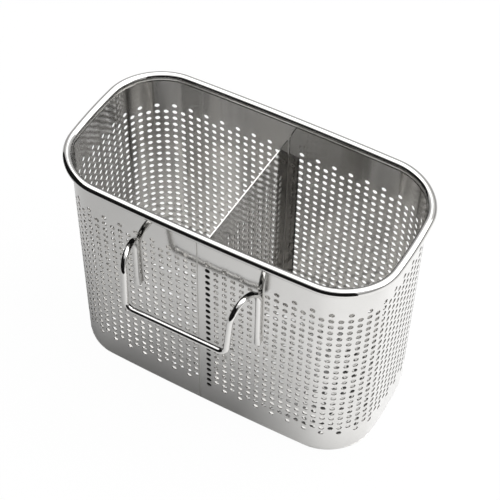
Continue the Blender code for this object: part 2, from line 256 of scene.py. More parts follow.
def satin_stainless(name):
    """Cold-rolled 0.6 mm stainless sheet, finished with a fine belt along its length.

    The eye sees soft mirror images, drawn out a little up and down, and faint upright streaks
    where the rolled sheet isn't quite flat. The holes' walls are dull from the punch, and darkened
    as painted shade. A flange's face is darkened, and its back, where it lies on the wall, is near
    black, both as painted shade.
    """
    steel = new_material(name)
    place = add_node(steel, "ShaderNodeUVMap", uv_map="grain").outputs["UV"]
    # Belt lines are near 0.03 mm wide, and are drawn 0.3 mm wide and 12 mm long to show
    lines = add_node(steel, "ShaderNodeMapping", {"Vector": place, "Scale": (80, 3300, 1)})
    grain = add_node(steel, "ShaderNodeTexNoise", {"Vector": lines.outputs[0], "Scale": 1.0,
                                                   "Detail": 2.0})
    # Streaks 12 mm wide and 90 mm tall, from the rolls
    rolls = add_node(steel, "ShaderNodeMapping", {"Vector": place, "Scale": (85, 11, 1)})
    wave = add_node(steel, "ShaderNodeTexNoise", {"Vector": rolls.outputs[0], "Scale": 1.0,
                                                  "Detail": 1.0})
    clouds = add_node(steel, "ShaderNodeTexNoise", {"Vector": place, "Scale": 45.0,
                                                    "Detail": 4.0})
    rough = add_node(steel, "ShaderNodeMapRange", {"Value": grain.outputs[0], "From Min": 0.3,
                                                   "From Max": 0.7, "To Min": 0.075,
                                                   "To Max": 0.11})
    cut = add_node(steel, "ShaderNodeAttribute", attribute_name="cut").outputs["Fac"]
    face_tint = add_node(steel, "ShaderNodeMix", {0: clouds.outputs[0], 6: linear("#C7C6C4"),
                                                  7: linear("#D0CFCD")}, data_type="RGBA")
    # Painted shade: the holes' walls darkened to mid grey, while their dullness below is real
    cut_tint = add_node(steel, "ShaderNodeMix", {0: cut, 6: face_tint.outputs[2],
                                                 7: linear("#7C7A77")}, data_type="RGBA")
    # Painted shade: near black on the flange backs that lie on the wall
    scaled = add_node(steel, "ShaderNodeMath", {0: cut, 1: 1.0}, operation="SUBTRACT")
    scale_tint = add_node(steel, "ShaderNodeMix", {0: scaled.outputs[0], 6: cut_tint.outputs[2],
                                                   7: linear("#2B2A28")}, data_type="RGBA")
    # Painted shade: the flange faces darkened by their share
    heated = add_node(steel, "ShaderNodeMath", {0: cut, 1: -1.0}, operation="MULTIPLY")
    tint = add_node(steel, "ShaderNodeMix", {0: heated.outputs[0], 6: scale_tint.outputs[2],
                                             7: linear("#7A7875")}, data_type="RGBA")
    dull = add_node(steel, "ShaderNodeMix", {0: cut, 2: rough.outputs[0], 3: 0.5})
    low_wave = add_node(steel, "ShaderNodeBump", {"Height": wave.outputs[0], "Strength": 0.25,
                                                  "Distance": 0.0006})
    relief = add_node(steel, "ShaderNodeBump", {"Height": grain.outputs[0], "Strength": 0.06,
                                                "Distance": 0.00003,
                                                "Normal": low_wave.outputs[0]})
    along = add_node(steel, "ShaderNodeTangent", direction_type="UV_MAP", uv_map="grain")
    shader = add_node(steel, "ShaderNodeBsdfPrincipled",
                      {"Base Color": tint.outputs[2], "Metallic": 1.0,
                       "Roughness": dull.outputs[0], "Normal": relief.outputs[0],
                       "Anisotropic": 0.2, "Tangent": along.outputs[0]})
    add_node(steel, "ShaderNodeOutputMaterial", {"Surface": shader.outputs[0]})
    return steel


def add_piece(name, mesh, material, slot, *nodes):
    """Put a finished mesh in the scene, in the place of its CAD nodes."""
    piece = bpy.data.objects.new(name, mesh)
    bpy.context.scene.collection.objects.link(piece)
    mesh.materials.append(material)
    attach(piece, "root")
    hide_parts(*nodes)


def from_seam(outline, inset):
    """Start the closed outline at the seam in the front, and end it there."""
    after = min((index for index, point in enumerate(outline)
                 if point.y < 0 and point.x > SEAM_X), key=lambda index: outline[index].x)
    seam = Vector((SEAM_X, front_y(SEAM_X, inset)))
    return [seam] + outline[after:] + outline[:after] + [seam]


wall_line = Bend(from_seam(plan_outline(WALL_OVERHANG), WALL_OVERHANG), closed=True)
column_pitch = ((wall_line.length - SEAM_TO_FIRST_COLUMN - LAST_COLUMN_TO_SEAM)
                / (WALL_COLUMNS - 1))
rim_z = HEIGHT - RIM_WIRE / 2
wall_top = rim_z - math.sqrt((RIM_WIRE / 2) ** 2 - WALL_OVERHANG ** 2)
wall_stations = [0.0, *(SEAM_TO_FIRST_COLUMN + (column - 0.5) * column_pitch
                        for column in range(WALL_COLUMNS)), wall_line.length]
wall_levels = [FLOOR_SHEET, *(WALL_TOP_ROW + ROW_PITCH * (0.5 - row)
                              for row in range(WALL_ROWS, -1, -1)), wall_top]
wall_holes = {(column + 1, WALL_ROWS - row) for column in range(WALL_COLUMNS)
              for row in (range(1, WALL_ROWS - 1) if column % 2 else range(WALL_ROWS))}
satin_sheet = satin_stainless("satin_stainless_sheet")
wall_sheet = punched_sheet("wall_sheet", wall_line, wall_stations, wall_levels, wall_holes,
                           -SHEET, 0.0)
add_piece("wall_sheet", wall_sheet, satin_sheet, "sheet", "basket_wall")


# Seam weld. The wall's two edges are butt-welded by a fine laser run, ground flush outside, where
# only a hairline is left, and with its small even ripples still standing inside.

SEAM_WIDTH = 0.0009
SEAM_OUTER_CROWN = 0.00003
SEAM_INNER_CROWN = 0.00025
RIPPLE = 0.0009
RIPPLE_DEPTH = 0.25
SEAM_STEPS = 260
SEAM_PROFILE = 7


def ground_weld(name, darker="#B2B0AC", lighter="#C2C1BE"):
    """Laser and spot welds in stainless steel: duller, greyer and rougher than the sheet.

    Those that are ground and pickled are pale. Those that keep their heat tint are darker.
    """
    weld = new_material(name)
    place = add_node(weld, "ShaderNodeTexCoord").outputs["Object"]
    # Grinding marks, 0.4 mm apart, coarser than the real 120 grit so that they show
    marks = add_node(weld, "ShaderNodeTexNoise", {"Vector": place, "Scale": 2500.0,
                                                  "Detail": 3.0})
    patches = add_node(weld, "ShaderNodeTexNoise", {"Vector": place, "Scale": 400.0})
    tint = add_node(weld, "ShaderNodeMix", {0: patches.outputs[0], 6: linear(darker),
                                            7: linear(lighter)}, data_type="RGBA")
    rough = add_node(weld, "ShaderNodeMapRange", {"Value": marks.outputs[0], "To Min": 0.28,
                                                  "To Max": 0.46})
    relief = add_node(weld, "ShaderNodeBump", {"Height": marks.outputs[0], "Strength": 0.3,
                                               "Distance": 0.00005})
    shader = add_node(weld, "ShaderNodeBsdfPrincipled",
                      {"Base Color": tint.outputs[2], "Metallic": 1.0,
                       "Roughness": rough.outputs[0], "Normal": relief.outputs[0]})
    add_node(weld, "ShaderNodeOutputMaterial", {"Surface": shader.outputs[0]})
    return weld


def seam_strip(name):
    """A lens-shaped strip through the wall, from its outer face to the ripples inside."""
    outer = front_y(SEAM_X, WALL_OVERHANG)
    verts, faces = [], []
    for step in range(SEAM_STEPS + 1):
        z = FLOOR_SHEET + (wall_top - FLOOR_SHEET) * step / SEAM_STEPS
        ripple = (1 - RIPPLE_DEPTH) + RIPPLE_DEPTH * math.cos(2 * math.pi * z / RIPPLE)
        for k in range(SEAM_PROFILE):
            across = math.cos(math.pi * k / (SEAM_PROFILE - 1))
            bulge = math.sin(math.pi * k / (SEAM_PROFILE - 1))
            verts.append((SEAM_X + across * SEAM_WIDTH / 2, outer - bulge * SEAM_OUTER_CROWN, z))
        for k in range(SEAM_PROFILE):
            across = -math.cos(math.pi * k / (SEAM_PROFILE - 1))
            bulge = math.sin(math.pi * k / (SEAM_PROFILE - 1)) * ripple
            verts.append((SEAM_X + across * SEAM_WIDTH / 2,
                          outer + SHEET + bulge * SEAM_INNER_CROWN, z))
    around = 2 * SEAM_PROFILE
    for step in range(SEAM_STEPS):
        for k in range(around):
            after = (k + 1) % around
            low, high = step * around, (step + 1) * around
            faces.append((low + k, low + after, high + after, high + k))
    faces += [tuple(range(around))[::-1], tuple(SEAM_STEPS * around + k for k in range(around))]
    mesh = bpy.data.meshes.new(name)
    mesh.from_pydata(verts, [], faces)
    mesh.shade_smooth()
    mesh.set_sharp_from_angle(angle=math.radians(50))
    return mesh


weld_metal = ground_weld("ground_laser_weld")
add_piece("seam_strip", seam_strip("seam_strip"), weld_metal, "weld", "seam_weld")


# Floor. A flat punched plate, twice as thick as the sheet and left dull, laid under the wall and
# joined to it by a weld that is ground flush, so that the outside shows one rounded edge and a
# hairline just above it.

FLOOR_ROUND = 0.0009
FLOOR_COLUMNS = 40
FLOOR_COLUMN_PITCH = 0.00511
FLOOR_HALF_ROWS = 11
FLOOR_MARGIN = 0.0075
SAME_PLACE = 0.00001


def inside_plan(x, y, inset):
    """Whether a point lies in the straight-sided plan, this far inside the rim's middle."""
    half_length, half_depth = half_plan(inset)
    radius = RIM_CORNER - inset
    past_x = abs(x) - (half_length - radius)
    past_y = abs(y) - (half_depth - radius)
    return math.hypot(max(past_x, 0), max(past_y, 0)) <= radius


def place_key(point):
    """A point of the plan, rounded so that it can be looked up."""
    return round(point.x * 1e5), round(point.y * 1e5)


def punched_floor(name):
    """The plate as a flat drawing, extruded, with its lower outer edge rounded."""
    drawing = bpy.data.curves.new(name, "CURVE")
    drawing.dimensions = "2D"
    drawing.fill_mode = "BOTH"
    drawing.extrude = FLOOR_SHEET / 2
    edge = plan_outline(WALL_OVERHANG)
    loops = [edge]
    for column in range(-FLOOR_COLUMNS // 2, FLOOR_COLUMNS // 2):
        for row in range(-FLOOR_HALF_ROWS, FLOOR_HALF_ROWS + 1):
            middle = Vector(((column + 0.5) * FLOOR_COLUMN_PITCH, row * ROW_PITCH))
            if inside_plan(middle.x, middle.y, WALL_OVERHANG + FLOOR_MARGIN):
                loops.append([middle + Vector(spot) * HOLE / 2 for spot in HOLE_RING])
    for loop in loops:
        spline = drawing.splines.new("POLY")
        spline.points.add(len(loop) - 1)
        for knot, point in zip(spline.points, loop):
            knot.co = (point.x, point.y, 0, 1)
        spline.use_cyclic_u = True
    drawn = bpy.data.objects.new(name, drawing)
    bpy.context.scene.collection.objects.link(drawn)
    drawn.location.z = FLOOR_SHEET / 2
    depsgraph = bpy.context.evaluated_depsgraph_get()
    mesh = bpy.data.meshes.new_from_object(drawn.evaluated_get(depsgraph))
    mesh.transform(drawn.matrix_world)
    bpy.data.objects.remove(drawn, do_unlink=True)
    bm = bmesh.new()
    bm.from_mesh(mesh)
    bmesh.ops.remove_doubles(bm, verts=bm.verts, dist=SAME_PLACE)
    # The lower outer edge lies between a face that is level and one that stands upright
    rim = {place_key(point) for point in edge}
    bottom = [line for line in bm.edges
              if all(vert.co.z < SAME_PLACE and place_key(vert.co) in rim for vert in line.verts)
              and len(line.link_faces) == 2
              and abs(line.link_faces[0].normal.z) + abs(line.link_faces[1].normal.z) < 1.5]
    bmesh.ops.bevel(bm, geom=bottom, offset=FLOOR_ROUND, segments=4, profile=0.5,
                    affect="EDGES")
    grain = bm.loops.layers.uv.new("grain")
    for face in bm.faces:
        for loop in face.loops:
            loop[grain].uv = loop.vert.co.xy
    bm.to_mesh(mesh)
    bm.free()
    mesh.name = name
    mesh.shade_smooth()
    mesh.set_sharp_from_angle(angle=math.radians(35))
    return mesh


def pickled_plate(name):
    """Hot-rolled plate, pickled and not polished: pale grey, evenly dull, with a fine mottle."""
    plate = new_material(name)
    place = add_node(plate, "ShaderNodeTexCoord").outputs["Object"]
    mottle = add_node(plate, "ShaderNodeTexNoise", {"Vector": place, "Scale": 900.0,
                                                    "Detail": 3.0})
    clouds = add_node(plate, "ShaderNodeTexNoise", {"Vector": place, "Scale": 60.0})
    tint = add_node(plate, "ShaderNodeMix", {0: clouds.outputs[0], 6: linear("#D0CFCD"),
                                             7: linear("#D8D7D5")}, data_type="RGBA")
    rough = add_node(plate, "ShaderNodeMapRange", {"Value": mottle.outputs[0], "To Min": 0.32,
                                                   "To Max": 0.42})
    relief = add_node(plate, "ShaderNodeBump", {"Height": mottle.outputs[0], "Strength": 0.2,
                                                "Distance": 0.00003})
    shader = add_node(plate, "ShaderNodeBsdfPrincipled",
                      {"Base Color": tint.outputs[2], "Metallic": 1.0,
                       "Roughness": rough.outputs[0], "Normal": relief.outputs[0]})
    add_node(plate, "ShaderNodeOutputMaterial", {"Surface": shader.outputs[0]})
    return plate


add_piece("floor_plate", punched_floor("floor_plate"), pickled_plate("pickled_plate"), "sheet",
          "floor_panel")


# Divider. A punched sheet across the basket, lower than the rim. Each end is folded to the right
# over a 1.2 mm bend and lies on the wall as a 7 mm flange, notched lower than the web.

DIVIDER_TOP = 0.1355
FLANGE_TOP = 0.1231
FLANGE = 0.0070
DIVIDER_BEND = 0.0012
DIVIDER_FRONT_X = -0.0020
DIVIDER_BACK_X = 0.0000
DIVIDER_CORNER = 0.0010
DIVIDER_COLUMNS = 16
DIVIDER_COLUMN_PITCH = 0.00515
DIVIDER_TOP_ROW = 0.1159
DIVIDER_ROWS = 21
DIVIDER_GAP = 0.00005
BEND_STEPS = 6
# Shares of painted shade on the flange faces, front and back
FRONT_HEAT = 0.4
BACK_HEAT = 1.0
SAME_MARK = 0.000001


def divider_plan():
    """The divider's line in plan, flange to flange, with the bends rounded."""
    reach = -front_y(0.0, WALL_OVERHANG + SHEET) - DIVIDER_GAP
    corners = [Vector((DIVIDER_FRONT_X + FLANGE, -reach)), Vector((DIVIDER_FRONT_X, -reach)),
               Vector((DIVIDER_BACK_X, reach)), Vector((DIVIDER_BACK_X + FLANGE, reach))]
    line = [corners[0]]
    for before, corner, after in zip(corners, corners[1:], corners[2:]):
        back = (before - corner).normalized()
        onward = (after - corner).normalized()
        half = back.angle(onward) / 2
        middle = corner + (back + onward).normalized() * DIVIDER_BEND / math.sin(half)
        first = (corner + back * DIVIDER_BEND / math.tan(half) - middle).normalized()
        last = (corner + onward * DIVIDER_BEND / math.tan(half) - middle).normalized()
        for step in range(BEND_STEPS + 1):
            share = step / BEND_STEPS
            spoke = (first * (1 - share) + last * share).normalized()
            line.append(middle + spoke * DIVIDER_BEND)
    line.append(corners[3])
    return line


divider_line = Bend(divider_plan())
web_start = float(divider_line.marks[BEND_STEPS + 1])
web_end = float(divider_line.marks[BEND_STEPS + 2])
bend_marks = [float(mark) for mark in divider_line.marks[1:-1]]
first_web_column = ((web_start + web_end) - (DIVIDER_COLUMNS - 1) * DIVIDER_COLUMN_PITCH) / 2
web_columns = [first_web_column + column * DIVIDER_COLUMN_PITCH
               for column in range(DIVIDER_COLUMNS)]
corner_marks = [DIVIDER_CORNER * (1 - math.cos(math.radians(15 * step)))
                for step in range(1, 7)]
divider_stations = sorted(
    [0.0, divider_line.length, *bend_marks]
    + [column + side * DIVIDER_COLUMN_PITCH / 2 for column in web_columns for side in (-1, 1)]
    + [web_start + mark for mark in corner_marks]
    + [web_end - mark for mark in corner_marks])
divider_stations = [mark for index, mark in enumerate(divider_stations)
                    if index == 0 or mark - divider_stations[index - 1] > SAME_MARK]
divider_levels = sorted([FLOOR_SHEET, FLANGE_TOP, DIVIDER_TOP]
                        + [DIVIDER_TOP_ROW + ROW_PITCH * (0.5 - row)
                           for row in range(DIVIDER_ROWS + 1)])


def divider_top(along):
    """Height of the web's top edge, which is rounded down at both ends."""
    from_end = min(along - web_start, web_end - along)
    if from_end >= DIVIDER_CORNER:
        return DIVIDER_TOP
    return DIVIDER_TOP - DIVIDER_CORNER + math.sqrt(DIVIDER_CORNER ** 2
                                                    - (DIVIDER_CORNER - from_end) ** 2)


def cell_at(along, height):
    """The cell whose middle is this point."""
    return (max(i for i, mark in enumerate(divider_stations) if mark < along),
            max(j for j, level in enumerate(divider_levels) if level < height))


def on_web(mark):
    """Whether the cells that start at this mark belong to the web."""
    return web_start - SAME_MARK < mark < web_end - SAME_MARK


divider_holes = {cell_at(mark, DIVIDER_TOP_ROW - ROW_PITCH * row)
                 for column, mark in enumerate(web_columns)
                 for row in (range(DIVIDER_ROWS) if column % 2 == 0
                             else range(1, DIVIDER_ROWS - 1))}
# The flange columns, with their shares of painted shade
flange_heat = {i: BACK_HEAT if mark > web_start else FRONT_HEAT
               for i, mark in enumerate(divider_stations[:-1]) if not on_web(mark)}
notch_cells = {(i, j) for i in flange_heat for j, level in enumerate(divider_levels[:-1])
               if level > FLANGE_TOP - SAME_MARK}
divider_sheet = punched_sheet("divider_sheet", divider_line, divider_stations, divider_levels,
                              divider_holes, 0.0, SHEET, notch_cells, divider_top, flange_heat)
add_piece("divider_sheet", divider_sheet, satin_sheet, "sheet", "divider")


# Spot welds. Two on each flange hold the divider to the wall, one under the notch and one near the
# floor. Each is the round print of the electrode, with a low ring squeezed up around it, and keeps
# its heat tint.

SPOT_X = {"front": 0.0015, "back": 0.0035}
SPOT_HEIGHTS = {"lower": 0.0075, "upper": 0.1160}
SPOT_PRINT = ((0.0, -0.00001), (0.0009, 0.00001), (0.00115, 0.00003), (0.0013, 0.00007),
              (0.00142, 0.00005), (0.0015, -0.00004))
SPOT_SIDES = 28


def spot_print(name, middle, towards):
    """The print, a low round turned shape whose face looks into the basket."""
    verts = [(middle.x, middle.y + towards * SPOT_PRINT[0][1], middle.z)]
    for radius, lift in SPOT_PRINT[1:]:
        for side in range(SPOT_SIDES):
            angle = 2 * math.pi * side / SPOT_SIDES
            verts.append((middle.x + radius * math.cos(angle) * towards,
                          middle.y + towards * lift, middle.z - radius * math.sin(angle)))
    faces = [(0, 1 + side, 1 + (side + 1) % SPOT_SIDES) for side in range(SPOT_SIDES)]
    for ring in range(len(SPOT_PRINT) - 2):
        for side in range(SPOT_SIDES):
            inner = 1 + ring * SPOT_SIDES
            after = (side + 1) % SPOT_SIDES
            faces.append((inner + side, inner + SPOT_SIDES + side,
                          inner + SPOT_SIDES + after, inner + after))
    faces.append(tuple(range(len(verts) - SPOT_SIDES, len(verts)))[::-1])
    mesh = bpy.data.meshes.new(name)
    mesh.from_pydata(verts, [], faces)
    mesh.shade_smooth()
    mesh.set_sharp_from_angle(angle=math.radians(50))
    return mesh


spot_metal = ground_weld("heat_tinted_spot_weld", "#6C6A67", "#7A7875")
flange_face = -front_y(0.0, WALL_OVERHANG + SHEET) - DIVIDER_GAP - SHEET
for end, towards in (("front", 1), ("back", -1)):
    for level, height in SPOT_HEIGHTS.items():
        name = f"spot_print_{end}_{level}"
        middle = Vector((SPOT_X[end], -towards * flange_face, height))
        add_piece(name, spot_print(name, middle, towards), spot_metal, "weld",
                  f"divider_spot_{end}_{level}")


# Rim. A ring of 5 mm bright round wire on the wall's top edge, standing out over its outer face.
# A fine continuous weld joins the two from outside.

RIM_SIDES = 40
RIM_BEAD = 0.00035
RIM_BEAD_STANDS = 0.6
RIM_BEAD_OUT = 0.00025
BEAD_SIDES = 8


def bright_wire(name):
    """Drawn stainless wire, electropolished: a clear mirror, with the faintest drawing lines."""
    wire = new_material(name)
    place = add_node(wire, "ShaderNodeUVMap", uv_map="grain").outputs["UV"]
    # Drawing lines run along the wire, 0.25 mm apart, coarser than real ones so that they show
    lines = add_node(wire, "ShaderNodeMapping", {"Vector": place, "Scale": (25, 4000, 1)})
    drawn = add_node(wire, "ShaderNodeTexNoise", {"Vector": lines.outputs[0], "Scale": 1.0,
                                                  "Detail": 2.0})
    haze = add_node(wire, "ShaderNodeTexNoise", {"Vector": place, "Scale": 150.0,
                                                 "Detail": 3.0})
    rough = add_node(wire, "ShaderNodeMapRange", {"Value": haze.outputs[0], "From Min": 0.3,
                                                  "From Max": 0.7, "To Min": 0.05,
                                                  "To Max": 0.09})
    tint = add_node(wire, "ShaderNodeMix", {0: haze.outputs[0], 6: linear("#CAC9C7"),
                                            7: linear("#D2D1CF")}, data_type="RGBA")
    relief = add_node(wire, "ShaderNodeBump", {"Height": drawn.outputs[0], "Strength": 0.06,
                                               "Distance": 0.00003})
    shader = add_node(wire, "ShaderNodeBsdfPrincipled",
                      {"Base Color": tint.outputs[2], "Metallic": 1.0,
                       "Roughness": rough.outputs[0], "Normal": relief.outputs[0]})
    add_node(wire, "ShaderNodeOutputMaterial", {"Surface": shader.outputs[0]})
    return wire


def swept_wire(name, path, sizes, sides, closed=False):
    """A wire along a path. Sizes are half its width and half its depth at each point."""
    count = len(path)
    verts, faces, spots = [], [], []
    across = None
    run = 0.0
    around = np.linspace(0, 2 * math.pi, sides, endpoint=False)
    for index, point in enumerate(path):
        before = path[index - 1] if index or closed else point
        after = path[(index + 1) % count] if index + 1 < count or closed else point
        ahead = (after - before).normalized()
        # The first direction across is level, or along X where the wire starts upright
        if across is None:
            across = ahead.cross(Vector((0, 0, 1)))
            across = across if across.length > 0.1 else Vector((1, 0, 0))
        across = (across - ahead * across.dot(ahead)).normalized()
        beside = ahead.cross(across)
        wide, deep = sizes[index]
        run += (point - path[index - 1]).length if index else 0.0
        for angle in around:
            verts.append(point + across * (wide * math.cos(angle))
                         + beside * (deep * math.sin(angle)))
            spots.append((run, angle / (2 * math.pi) * math.pi * (wide + deep)))
    for index in range(count if closed else count - 1):
        low = index * sides
        high = (index + 1) % count * sides
        for side in range(sides):
            beyond = (side + 1) % sides
            faces.append((low + side, low + beyond, high + beyond, high + side))
    if not closed:
        faces.append(tuple(range(sides))[::-1])
        faces.append(tuple((count - 1) * sides + side for side in range(sides)))
    mesh = bpy.data.meshes.new(name)
    mesh.from_pydata(verts, [], faces)
    mesh.shade_smooth()
    mesh.set_sharp_from_angle(angle=math.radians(40))
    grain = mesh.uv_layers.new(name="grain")
    for face in mesh.polygons:
        for loop in face.loop_indices:
            grain.uv[loop].vector = spots[mesh.loops[loop].vertex_index]
    return mesh


drawn_wire = bright_wire("bright_drawn_wire")
rim_path = [Vector((point.x, point.y, rim_z)) for point in plan_outline(0.0)]
add_piece("rim_ring", swept_wire("rim_ring", rim_path, [(RIM_WIRE / 2,) * 2] * len(rim_path),
                                 RIM_SIDES, closed=True), drawn_wire, "wire", "rim_wire")

bead_inset = WALL_OVERHANG - RIM_BEAD_OUT
bead_z = rim_z - math.sqrt((RIM_WIRE / 2 + RIM_BEAD * RIM_BEAD_STANDS) ** 2 - bead_inset ** 2)
bead_path = [Vector((point.x, point.y, bead_z)) for point in plan_outline(bead_inset)]
add_piece("rim_bead", swept_wire("rim_bead", bead_path, [(RIM_BEAD,) * 2] * len(bead_path),
                                 BEAD_SIDES, closed=True), weld_metal, "weld", "rim_weld")


# Hook. One 3.5 mm bright wire, bent over into two arches and a bar. Its two legs lie on the front
# wall, and their feet are pressed a little flat where they are welded to it.

HOOK_WIRE = 0.0035
HOOK_X = -0.0030
HOOK_HALF_SPAN = 0.0378
HOOK_HALF_SHOULDER = 0.0320
HOOK_HALF_BAR = 0.0309
HOOK_ARCH_Z = 0.1184
HOOK_ARCH_RADIUS = 0.0099
HOOK_LEGS = {-1: 0.0329, 1: 0.0377}
HOOK_BAR_Z = 0.0934
HOOK_BAR_REACH = 0.0236
HOOK_BEND = 0.0048
HOOK_FOOT = 0.0070
HOOK_SUNK = 0.00008
FOOT_WIDER = 0.12
FOOT_FLATTER = 0.16
FOOT_EASE = 0.7
FOOT_BEAD = 0.00035
FOOT_BEAD_SUNK = 0.4
FOOT_BEAD_LENGTH = 0.0080
FOOT_BEAD_BELOW = 0.0011
FOOT_BEAD_SPREAD = 0.78
FOOT_BEAD_STEPS = 24
HOOK_SIDES = 28
ARCH_STEPS = 30
HOOK_BEND_STEPS = 12
LEG_STEPS = 24


def hook_foot(side):
    """The lower end of a leg, lying on the wall."""
    x = HOOK_X + side * HOOK_HALF_SPAN
    return Vector((x, front_y(x, WALL_OVERHANG) - HOOK_WIRE / 2 + HOOK_SUNK,
                   HOOK_ARCH_Z - HOOK_LEGS[side]))


def hook_half(side):
    """Half of the wire, from a foot over its arch to the middle of the bar."""
    foot = hook_foot(side)
    top = Vector((foot.x, foot.y, HOOK_ARCH_Z))
    lean = side * (HOOK_HALF_SHOULDER - HOOK_HALF_SPAN)
    points = [foot.lerp(top, step / LEG_STEPS) for step in range(LEG_STEPS)]
    for step in range(ARCH_STEPS + 1):
        share = step / ARCH_STEPS
        points.append(top + Vector((lean * share,
                                    -HOOK_ARCH_RADIUS * (1 - math.cos(math.pi * share)),
                                    HOOK_ARCH_RADIUS * math.sin(math.pi * share))))
    bar_y = front_y(HOOK_X, WALL_OVERHANG) - HOOK_BAR_REACH
    corner = Vector((HOOK_X + side * HOOK_HALF_BAR, bar_y, HOOK_BAR_Z))
    middle = Vector((HOOK_X, bar_y, HOOK_BAR_Z))
    back = (points[-1] - corner).normalized()
    onward = (middle - corner).normalized()
    half = back.angle(onward) / 2
    centre = corner + (back + onward).normalized() * HOOK_BEND / math.sin(half)
    first = (corner + back * HOOK_BEND / math.tan(half) - centre).normalized()
    last = (corner + onward * HOOK_BEND / math.tan(half) - centre).normalized()
    points += [centre + first.slerp(last, step / HOOK_BEND_STEPS) * HOOK_BEND
               for step in range(HOOK_BEND_STEPS + 1)]
    return points + [points[-1].lerp(middle, share) for share in (0.25, 0.5, 0.75)]


def hook_sizes(path):
    """Half width and depth along the wire: round, and pressed flatter at the feet."""
    sizes = []
    ends = (path[0], path[-1])
    for point in path:
        from_end = min((point - end).length for end in ends)
        press = max(0.0, 1 - from_end / HOOK_FOOT) ** FOOT_EASE
        sizes.append((HOOK_WIRE / 2 * (1 + FOOT_WIDER * press),
                      HOOK_WIRE / 2 * (1 - FOOT_FLATTER * press)))
    return sizes


hook_path = (hook_half(-1) + [Vector((HOOK_X, front_y(HOOK_X, WALL_OVERHANG) - HOOK_BAR_REACH,
                                      HOOK_BAR_Z))] + hook_half(1)[::-1])
add_piece("hook_wire_bent",
          swept_wire("hook_wire_bent", hook_path, hook_sizes(hook_path), HOOK_SIDES),
          drawn_wire, "wire", "hook_wire")

# Each foot's weld runs down one side of the leg, round under it and up the other side
quarters = (0.25, 0.5, 0.75, 1.0)
foot_turns = [math.pi * step / FOOT_BEAD_STEPS for step in range(FOOT_BEAD_STEPS + 1)]
foot_outline = ([(-1.0, share) for share in quarters[::-1]]
                + [(-math.cos(turn), -math.sin(turn)) for turn in foot_turns]
                + [(1.0, share) for share in quarters])
for side, end in ((-1, "left"), (1, "right")):
    foot = hook_foot(side)
    points = []
    for across, up in foot_outline:
        x = foot.x + across * (HOOK_WIRE / 2 * FOOT_BEAD_SPREAD)
        z = foot.z + up * (FOOT_BEAD_LENGTH if up > 0 else FOOT_BEAD_BELOW)
        points.append(Vector((x, front_y(x, WALL_OVERHANG) - FOOT_BEAD * FOOT_BEAD_SUNK, z)))
    bead = swept_wire(f"foot_bead_{end}", points, [(FOOT_BEAD, FOOT_BEAD)] * len(points),
                      BEAD_SIDES)
    add_piece(f"foot_bead_{end}", bead, weld_metal, "weld", f"hook_weld_{end}")


# Stage. A white paper floor, a broad soft lamp overhead and one at the right back, and a dark sweep
# round the front left that only reflections see, as in a product photographer's tent. The camera
# stands where the photograph's rim, outline and holes put it.

CAMERA_SHARE = 0.97
MIRROR_SHARE = 0.6
# Painted light and shade that mirrors see on the paper
POOL = (0.34, -0.05, 0.0)
POOL_REACH = (0.2, 0.5)
POOL_LEVEL = 1.42
FAR_LEVEL = 0.53
FOOT_SHADE_REACH = 0.07
FOOT_SHADE_POWER = 3.0
FOOT_SHADE_START = (0.04, 0.12)
# Where the paper under the basket goes from painted light to painted shade, along X
PALE_TO_DARK = (-0.01, 0.06)
UNDER_MARGIN = 0.0004
FLOOR_DROP = 0.0002


def paper_floor(name):
    """White paper: white to the camera and through glass, glowing with painted light for mirrors.

    Mirrors see a painted pool of light right of the part, fading to grey 0.5 m away, and painted
    shade close to the basket's left and front, mixed with the paper's real light and shadow.
    """
    paper = new_material(name)
    seen = add_node(paper, "ShaderNodeLightPath")
    clear = add_node(paper, "ShaderNodeMath", {0: seen.outputs["Is Camera Ray"],
                                               1: seen.outputs["Is Transmission Ray"]},
                     operation="ADD")
    direct = add_node(paper, "ShaderNodeMath", {0: clear.outputs[0], 1: CAMERA_SHARE},
                      operation="MULTIPLY")
    share = add_node(paper, "ShaderNodeMath", {0: seen.outputs["Is Glossy Ray"], 1: MIRROR_SHARE,
                                               2: direct.outputs[0]}, operation="MULTIPLY_ADD")
    place = add_node(paper, "ShaderNodeNewGeometry").outputs["Position"]
    # Painted light for mirrors: a bright pool right of the part, grey further away
    away = add_node(paper, "ShaderNodeVectorMath", {0: place, 1: POOL}, operation="DISTANCE")
    fade = add_node(paper, "ShaderNodeMapRange", {"Value": away.outputs["Value"],
                                                  "From Min": POOL_REACH[0],
                                                  "From Max": POOL_REACH[1]},
                    interpolation_type="SMOOTHSTEP")
    pool = add_node(paper, "ShaderNodeMix", {0: fade.outputs[0], 2: POOL_LEVEL, 3: FAR_LEVEL})
    # Painted shade for mirrors: the paper darkened close to the basket's left and front
    near = add_node(paper, "ShaderNodeAmbientOcclusion", {"Distance": FOOT_SHADE_REACH},
                    samples=8)
    dark = add_node(paper, "ShaderNodeMath", {0: near.outputs["AO"], 1: FOOT_SHADE_POWER},
                    operation="POWER")
    left = add_node(paper, "ShaderNodeMapRange",
                    {"Value": away.outputs["Value"],
                     "From Min": POOL_REACH[0] + FOOT_SHADE_START[0],
                     "From Max": POOL_REACH[0] + FOOT_SHADE_START[1]})
    foot = add_node(paper, "ShaderNodeMix", {0: left.outputs[0], 2: 1.0, 3: dark.outputs[0]})
    shaded = add_node(paper, "ShaderNodeMath", {0: pool.outputs[0], 1: foot.outputs[0]},
                      operation="MULTIPLY")
    level = add_node(paper, "ShaderNodeMix", {0: seen.outputs["Is Glossy Ray"], 2: 1.0,
                                              3: shaded.outputs[0]})
    matt = add_node(paper, "ShaderNodeBsdfDiffuse", {"Color": linear("#F2F2F2")})
    glow = add_node(paper, "ShaderNodeEmission", {"Strength": level.outputs[0]})
    mix = add_node(paper, "ShaderNodeMixShader", {0: share.outputs[0], 1: matt.outputs[0],
                                                  2: glow.outputs[0]})
    add_node(paper, "ShaderNodeOutputMaterial", {"Surface": mix.outputs[0]})
    return paper


